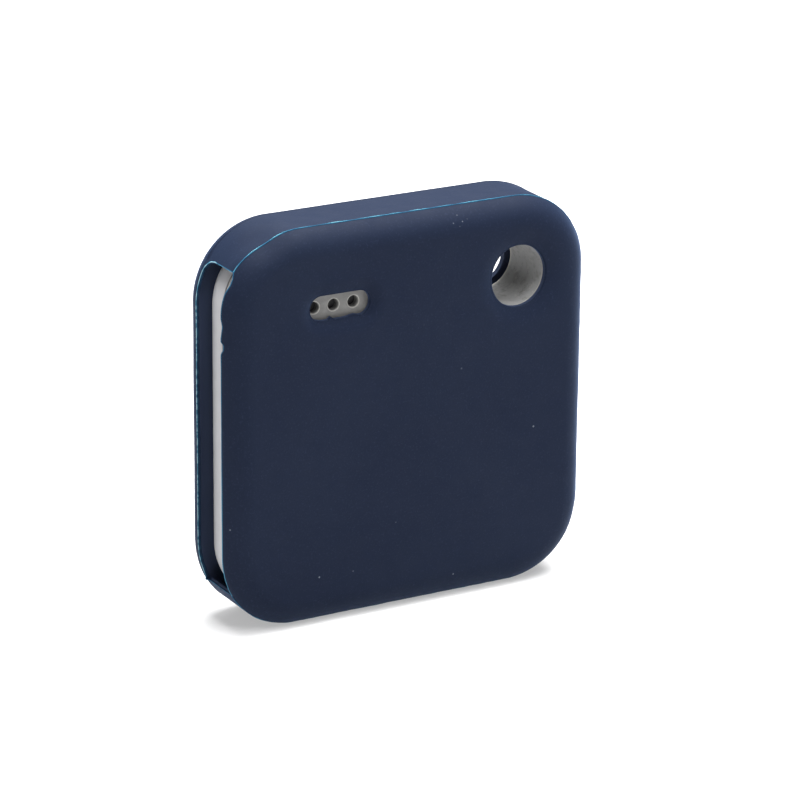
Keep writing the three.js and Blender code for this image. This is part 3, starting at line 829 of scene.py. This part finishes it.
def shell_front(surface, outer_row, inner_row, gentle):
    """The front face with its two holes. Gentle is the points of its rounding's flatter part."""
    key, seat = circle(CORE, CORE, TUBE_OUTER + 0.06), circle(0, 0, BEZEL_OUTER + 0.03, 96)
    flare, drop, seat_edge = 0.5, FRONT_FACE - TUBE_END, 0.05
    rings = [key(flare * grow) for grow in (0.02, 0.08, 0.18, 0.32, 0.5, 0.72, 0.96, 1.06, 1.5)]
    rings += [seat(grow) for grow in (0.25, 0.6)]
    gentle = gentle[key.distance(gentle) > flare * 1.7]
    loop, edge_y, roof = outer_row[:, [0, 2]], outer_row[0, 1], inner_row[0, 1]
    flat, faces = filled(loop, [key(0), seat(seat_edge)], 1.3, rings, gentle)
    height = np.where(distance_to(loop, flat) < ON_LINE, edge_y, shell_face(flat, key, flare, drop))
    surface.add(at_height(flat, height), faces)
    flat, faces = filled(inner_row[:, [0, 2]], [key(0), seat(0)], 2.0)
    surface.add(at_height(flat, roof), faces)
    surface.grid([at_height(key(0), TUBE_END), at_height(key(0), roof)])
    seat_steps = [(seat_edge, FRONT_FACE), (0, FRONT_FACE - seat_edge), (0, roof)]
    surface.grid([at_height(seat(grow), y) for grow, y in seat_steps])


def make_front_shell(material):
    """A tray. Its front face takes in part of the rounding, where the key-ring hole's flare is."""
    outline = shell_outline()
    bevel, side_wall, inner_round, roof = 0.16, 1.0, 1.2, FRONT_FACE - 0.8
    turns, steep = 14, 10
    rounding = quarter(FRONT_ROUND, FRONT_FACE - FRONT_ROUND, turns)
    outer = [(bevel, SEAM), (bevel * 0.3, SEAM + bevel * 0.3), (0, SEAM + bevel), (0, 0)]
    outer += rounding[: steep + 1]
    inner = [(side_wall, SEAM), (side_wall, 0)]
    inner += quarter(inner_round, roof - inner_round, 6, side_wall)
    outer_rows, inner_rows = outline.rows(outer), outline.rows(inner)
    # Painted shade along the seam: the first row gets mark -1.
    seam_shade = np.zeros((len(outer_rows), 1))
    seam_shade[0] = -1.0
    surface = Surface()
    surface.grid(outer_rows, mark=seam_shade)
    surface.grid(inner_rows)
    # The shell's underside, in the seam gap, gets mark -1: painted shade.
    surface.grid([outer_rows[0], inner_rows[0]], mark=-1.0)
    gentle = outline.rows(rounding[steep + 1 :]).reshape(-1, 3)[:, [0, 2]]
    shell_front(surface, outer_rows[-1], inner_rows[-1], gentle)
    surface.build("front_shell_moulding", material, "tracker", ["front_shell"])


def make_rear_frame(material):
    outline = shell_outline()
    start = BACK_FACE + BACK_ROUND  # where the back rounding starts on the side
    front, back = SEAM - 0.12, PLATE_INSIDE + 0.05
    bevel, inside = 0.14, 1.65

    def side(y):
        drop = max(0.0, start - y)
        return BACK_ROUND - math.sqrt(max(BACK_ROUND**2 - drop**2, 0))

    levels = np.linspace(front - bevel, back + bevel, 7)
    profile = [(inside, front), (bevel, front)] + [(side(y), y) for y in levels]
    profile += [(side(back) + bevel, back), (inside, back), (inside, front)]
    surface = Surface()
    # The rear frame's own cream tone is mark 0.6; its faces in the seam gap get -1, painted shade.
    cream_and_seam_shade = np.full((len(profile), 1), 0.6)
    cream_and_seam_shade[[0, 1, -1]] = -1.0
    surface.grid(outline.rows(profile), mark=cream_and_seam_shade)
    surface.build("rear_frame_moulding", material, "tracker", ["rear_frame"])


def back_rounding(inside_y):
    """The rows of the back's rounding, from a plate's inside to its face."""
    start, steps = BACK_FACE + BACK_ROUND, 10
    first = math.asin((start - inside_y) / BACK_ROUND)
    profile = []
    for step in range(steps + 1):
        turn = first + (math.pi / 2 - first) * step / steps
        profile.append((BACK_ROUND * (1 - math.cos(turn)), start - BACK_ROUND * math.sin(turn)))
    return shell_outline().rows(profile)


def hole_wall(surface, hole, steps):
    """A hole's wall from (growth, y, mark) steps."""
    rows = [at_height(hole(grow), y) for grow, y, _ in steps]
    surface.grid(rows, mark=np.array([[mark] for _, _, mark in steps]))


def make_back_plate(material):
    """The grey back with its sound holes and the key-ring tube, still without the doorway."""
    rows = back_rounding(PLATE_INSIDE)
    surface = Surface()
    surface.grid(rows)
    tube_in, tube_out = circle(CORE, CORE, TUBE_INNER), circle(CORE, CORE, TUBE_OUTER)
    sounds = [circle(x, z, SOUND_HOLE, 40) for x, z in SOUND_HOLES]
    soft, edge, flare = 0.06, 0.13, 0.15
    holes = [tube_in(flare + soft)] + [hole(edge) for hole in sounds]
    rings = [tube_in(0.4), tube_in(0.7)] + [hole(edge + 0.12) for hole in sounds]
    flat, faces = filled(rows[-1][:, [0, 2]], holes, 1.2, rings)
    surface.add(at_height(flat, BACK_FACE), faces)
    flat, faces = filled(rows[0][:, [0, 2]], [tube_out(0)] + [hole(0) for hole in sounds], 1.6)
    surface.add(at_height(flat, PLATE_INSIDE), faces)
    for hole in sounds:
        # Marks of 0.3 to 1 paint a highlight on the sound hole's rim.
        steps = [(edge, 0, 0.3), (edge * 0.3, 0.03, 1.0), (0, 0.12, 0.3)]
        # Further in, marks below 0 paint shade on the wall, down to near black.
        steps += [(0, 0.3, 0), (0, 0.6, -0.35), (0, PLATE_INSIDE - BACK_FACE, -1)]
        hole_wall(surface, hole, [(grow, BACK_FACE + y, mark) for grow, y, mark in steps])
    # Marks of 0.8 to 1 paint a highlight on the tube's two rims; the wall's 0.35 to 0.45 mark it as
    # the inside of the tube.
    steps = [(flare + soft, BACK_FACE, 0.3), (flare + soft * 0.3, BACK_FACE + 0.03, 0.8)]
    shares = np.linspace(0, 1, 7)
    steps += [(flare * (1 - share) ** 2, BACK_FACE + 0.1 + share * 1.1, 0.35) for share in shares]
    steps += [(0, y, 0.36) for y in np.linspace(BACK_FACE + 1.6, TUBE_END - 0.5, 9)]
    steps += [(0, TUBE_END - 0.25, 0.45), (0, TUBE_END - 0.18, 1.0)]
    steps += [(soft * 0.3, TUBE_END - 0.03, 1.0), (soft, TUBE_END, 0.5)]
    hole_wall(surface, tube_in, steps)
    far_end = [(tube_in(soft), TUBE_END), (tube_out(0), TUBE_END), (tube_out(0), PLATE_INSIDE)]
    surface.grid([at_height(loop, y) for loop, y in far_end])
    return surface.build("back_plate_moulding", material, "tracker", ["back_plate"])


def cut_doorway(plate):
    """The door's opening, and the grooves its runners slide in."""
    low, high = (-BEYOND, -BEYOND, DOOR_LOW - GAP), (DOOR_RIGHT + GAP, BEYOND, DOOR_HIGH + GAP)
    carve(plate, "DIFFERENCE", low, high)
    side = RUNNER + 2 * GAP
    groove = span("battery_door")[0][1] + 0.35
    low, high = (-BEYOND, groove, DOOR_LOW - side), (DOOR_RIGHT + side, 0, DOOR_HIGH + side)
    carve(plate, "DIFFERENCE", low, high)


def door_plate(name, material, inside_y):
    """A piece of the door before it is cut to size: the back's outline, down to inside_y."""
    rows = back_rounding(inside_y)
    surface = Surface()
    surface.grid(rows)
    for row in (rows[0], rows[-1]):
        flat, faces = filled(row[:, [0, 2]], [], 1.6)
        surface.add(at_height(flat, row[0, 1]), faces)
    return surface.build(name, material, "door", ["battery_door"])


def make_battery_door(material):
    """A flush cover with three grip grooves, on runners that slide in the back plate."""
    inner = span("battery_door")[1][1]
    cover = door_plate("battery_door_cover", material, inner - 0.1)
    carve(cover, "INTERSECT", (-BEYOND, -BEYOND, DOOR_LOW), (DOOR_RIGHT, BEYOND, DOOR_HIGH), 0.08)
    grip_middle, grip_pitch, grip_width, grip_depth, grip_reach = -12.6, 1.1, 0.45, 0.16, 3.2
    door_middle = (DOOR_LOW + DOOR_HIGH) / 2
    for place in (-1, 0, 1):
        x = grip_middle + place * grip_pitch
        low = (x - grip_width / 2, BACK_FACE - 1, door_middle - grip_reach)
        high = (x + grip_width / 2, BACK_FACE + grip_depth, door_middle + grip_reach)
        carve(cover, "DIFFERENCE", low, high, 0.12)
    runners = door_plate("battery_door_runners", material, inner)
    low = (-TRACKER_HALF + 1.2, inner - 0.25, DOOR_LOW - RUNNER)
    carve(runners, "INTERSECT", low, (DOOR_RIGHT + RUNNER, BEYOND, DOOR_HIGH + RUNNER), 0.05)


# -------- the button and its bezel
def turned(profile, name, material, body, replaces, count=120, mark=0.0):
    """A piece turned about the button's axis from a closed (radius, y) profile."""
    surface = Surface()
    surface.grid([at_height(circle(0, 0, radius, count)(), y) for radius, y in profile], mark=mark)
    return surface.build(name, material, body, replaces, sharp=40)


def make_button(material):
    low = span("front_button")[0][1]
    face, edge, dish, flange, flange_top = FRONT_FACE - 0.05, 0.14, 0.2, 5.2, FRONT_FACE - 0.6
    profile = [(0, low), (1.0, low), (1.0, low + 0.1), (flange, low + 0.1)]
    profile += [(flange, flange_top), (BUTTON, flange_top)]
    for step in range(9):
        turn = math.pi / 2 * step / 8
        profile.append((BUTTON - edge * (1 - math.cos(turn)), face - edge * (1 - math.sin(turn))))
    rounded = len(profile)
    for share in np.linspace(0.95, 0, 20):
        profile.append(((BUTTON - edge) * share, face - dish * (1 - share**2) ** 1.5))
    worn = np.zeros((len(profile), 1))
    worn[rounded - 6 : rounded] = 0.6
    turned(
        profile, "front_button_cap", material, "button", ["front_button"],
        mark=worn,
    )


def make_bezel(material):
    foot, top, outer_edge, inner_edge = FRONT_FACE - 0.46, FRONT_FACE + 0.04, 0.06, 0.12
    profile = [(BEZEL_INNER, foot), (BEZEL_OUTER, foot)]
    outer_round = (BEZEL_OUTER - outer_edge, outer_edge, 0)
    inner_round = (BEZEL_INNER + inner_edge, inner_edge, math.pi / 2)
    for middle, wide, start in (outer_round, inner_round):
        for step in range(7):
            turn = start + math.pi / 2 * step / 6
            profile.append((middle + wide * math.cos(turn), top - wide + wide * math.sin(turn)))
    profile.append((BEZEL_INNER, foot))
    turned(profile, "button_bezel_ring", material, "tracker", ["button_bezel"])


def make_dome(material):
    """The snap dome under the button, built in its raised shape; the real one flattens as the
    button goes in.
    """
    low, high = span("switch_dome")
    sheet, steps = 0.08, 12
    rise = high[1] - low[1] - sheet
    shares = [1 - n / steps for n in range(steps + 1)]
    curve = [(high[0] * share, low[1] + rise * (1 - share**2)) for share in shares]
    profile = curve + [(radius, y + sheet) for radius, y in reversed(curve)] + curve[:1]
    dome = turned(
        profile, "switch_dome_snap", material, "tracker", ["switch_dome"], count=64
    )
    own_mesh(dome)


# -------- the parts inside
def soften(node, width):
    """A small bevel on a CAD node's edges, which are split where its faces meet."""
    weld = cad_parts[node].modifiers.new("weld", "WELD")
    weld.merge_threshold = SAME_PLACE * MM
    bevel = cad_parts[node].modifiers.new("bevel", "BEVEL")
    bevel.width, bevel.segments = width * MM, 2
    bevel.limit_method, bevel.angle_limit = "ANGLE", math.radians(35)
    bevel.use_clamp_overlap = True
    bevel.harden_normals = True


def dress(material, **bevels):
    """Give CAD nodes a material, and a bevel where its width isn't 0."""
    for node, width in bevels.items():
        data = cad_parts[node].data
        data.materials.clear()
        data.materials.append(material)
        if width:
            soften(node, width)


def metal_material(name, bright, dull, rough, stretch=(1, 1, 1), relief=0.003):
    """Bare metal with a fine grain and a little tarnish."""
    m = Nodes(name)
    m.set(Metallic=1.0)
    tarnish = m.remap(m.noise(0.3, 3.0, 0.6), 0.35, 0.7)
    m.colour(m.mix(tarnish, bright, dull))
    m.roughness(m.noise(0.7, 4.0, 0.6), rough, rough + 0.10)
    m.bump([(m.noise(9.0, 2.0, 0.5, stretch), relief / 2), (m.noise(1.1, 2.0), relief)])
    return m.material


def moulded_material(name, light, dark, rough, grain=5.0, relief=0.004):
    """Plastic, rubber or ceramic with cloudy colour and a fine grain."""
    m = Nodes(name)
    cloud = m.remap(m.noise(0.7, 4.0, 0.6), 0.35, 0.7)
    m.colour(m.mix(cloud, dark, light))
    m.roughness(m.noise(1.5, 3.0), rough, rough + 0.14)
    m.bump([(m.noise(grain, 3.0), relief)])
    return m.material


def board_material():
    """Green solder mask over copper tracks."""
    m = Nodes("solder_mask")
    m.set(Coat_Weight=0.35, Coat_Roughness=0.2)
    tracks = m.remap(m.cells(0.55, "CHEBYCHEV"), 0.42, 0.46)
    cloud = m.remap(m.noise(0.6, 3.0), 0.3, 0.7)
    body = m.mix(cloud, (0.006, 0.060, 0.028), (0.010, 0.078, 0.036))
    m.colour(m.mix(tracks, body, (0.022, 0.135, 0.055)))
    m.roughness(m.noise(2.0, 3.0), 0.30, 0.42)
    m.bump([(tracks, 0.02), (m.noise(4.0, 2.0), 0.004)])
    return m.material


def dress_inside():
    bright, dull = (0.31, 0.31, 0.305), (0.265, 0.26, 0.25)
    steel = metal_material("spring_steel", bright, dull, 0.34, (1, 0.1, 1), 0.0008)
    brass = metal_material("sounder_brass", (0.78, 0.57, 0.25), (0.55, 0.38, 0.17), 0.26)
    black = moulded_material("black_plastic", (0.030, 0.030, 0.032), (0.016, 0.016, 0.017), 0.45)
    rubber = moulded_material("seal_rubber", (0.026, 0.025, 0.025), (0.014, 0.014, 0.014), 0.62)
    pale, tan = (0.62, 0.57, 0.47), (0.50, 0.45, 0.36)
    ceramic = moulded_material("pale_ceramic", pale, tan, 0.38, 8.0, 0.003)
    make_dome(steel)
    dress(steel, coin_cell_can=0.12, coin_cell_cap=0.12, main_crystal=0.08, clock_crystal=0.06)
    dress(steel, cell_contact_negative=0, cell_contact_positive=0.05)
    dress(steel, sounder_spring_centre=0, sounder_spring_edge=0)
    dress(brass, sounder_disc=0.04)
    dress(black, coin_cell_cradle=0.08, coin_cell_gasket=0, sound_hole_mesh=0)
    dress(black, bluetooth_chip=0.06, sounder_driver_chip=0.05, power_inductor=0.2)
    dress(rubber, battery_door_pad=0.02, button_seal=0, key_ring_tube_seal=0, sounder_gasket=0)
    dress(ceramic, sounder_ceramic=0, chip_antenna=0.06)
    dress(ceramic, **{f"capacitor_{n}": 0.05 for n in range(1, 7)})
    dress(board_material(), circuit_board=0.04)


# -------- floor, light and camera
def make_stage():
    m = Nodes("pale_floor")
    m.set(Specular_IOR_Level=0.2, Roughness=0.9)
    m.set(Emission_Color=(1, 1, 1, 1), Emission_Strength=0.40)
    m.colour(m.mix(m.remap(m.noise(0.02, 2.0), 0.3, 0.7), (0.44, 0.44, 0.443), (0.47, 0.47, 0.473)))
    m.bump([(m.noise(0.8, 3.0), 0.01)])
    mesh = bpy.data.meshes.new("floor")
    reach = 3.0
    corners = [(-reach, -reach, 0), (reach, -reach, 0), (reach, reach, 0), (-reach, reach, 0)]
    mesh.from_pydata(corners, [], [(0, 1, 2, 3)])
    mesh.materials.append(m.material)
    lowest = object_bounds()[0][2]
    floor = new_object("floor", mesh)
    floor.location.z = lowest


def direction(azimuth, elevation):
    """The way out from the tag at angles in degrees. Azimuth 0 is where its back faces."""
    a, e = math.radians(azimuth), math.radians(elevation)
    return Vector((math.sin(a) * math.cos(e), -math.cos(a) * math.cos(e), math.sin(e)))


def make_light(name, azimuth, elevation, size, watts):
    """A soft square light that faces the tag."""
    distance, out = 0.60, direction(azimuth, elevation)
    data = bpy.data.lights.new(name, "AREA")
    data.shape, data.size, data.energy = "SQUARE", size, watts
    light = new_object(name, data)
    light.location = Vector((0, 0, MIDDLE * MM)) + out * distance
    light.rotation_euler = out.to_track_quat("Z", "Y").to_euler()


def make_lights():
    world = bpy.data.worlds.new("studio")
    world.use_nodes = True
    background = world.node_tree.nodes["Background"]
    background.inputs["Color"].default_value = (1, 1, 1, 1)
    background.inputs["Strength"].default_value = 0.26
    bpy.context.scene.world = world
    make_light("overhead_softbox", azimuth=110, elevation=78, size=0.50, watts=13.0)
    make_light("front_softbox", azimuth=-6, elevation=60, size=0.25, watts=2.0)
    make_light("back_softbox", azimuth=158, elevation=46, size=0.30, watts=1.2)
    bpy.context.scene.view_settings.view_transform = "Standard"


def make_camera():
    roll, distance, aim_right, aim_up = math.radians(0.519), 360.67, 0.953, -0.054
    back = direction(azimuth=-29.51, elevation=19.216)
    level = Vector((0, 0, 1)).cross(back).normalized()
    rise = back.cross(level)
    right = math.cos(roll) * level + math.sin(roll) * rise
    up = back.cross(right)
    data = bpy.data.cameras.new("camera")
    data.sensor_width, data.lens = 36.0, 177.78
    data.clip_start = 0.02
    camera = new_object("camera", data)
    place = (back * distance + right * aim_right + up * aim_up + Vector((0, 0, MIDDLE))) * MM
    turn = Matrix((right, up, back)).transposed().to_4x4()
    camera.matrix_world = Matrix.Translation(place) @ turn
    bpy.context.scene.camera = camera


# -------- build
make_camera()
make_lights()
silicone = silicone_material()
white_plastic = white_plastic_material()
grey_plastic = grey_plastic_material()
make_sleeve(silicone)
make_front_shell(white_plastic)
make_rear_frame(white_plastic)
cut_doorway(make_back_plate(grey_plastic))
make_battery_door(grey_plastic)
make_button(white_plastic)
chrome_bright, chrome_dull = (0.40, 0.40, 0.41), (0.31, 0.31, 0.32)
make_bezel(metal_material("bezel_chrome", chrome_bright, chrome_dull, 0.24, relief=0.0006))
dress_inside()
make_stage()
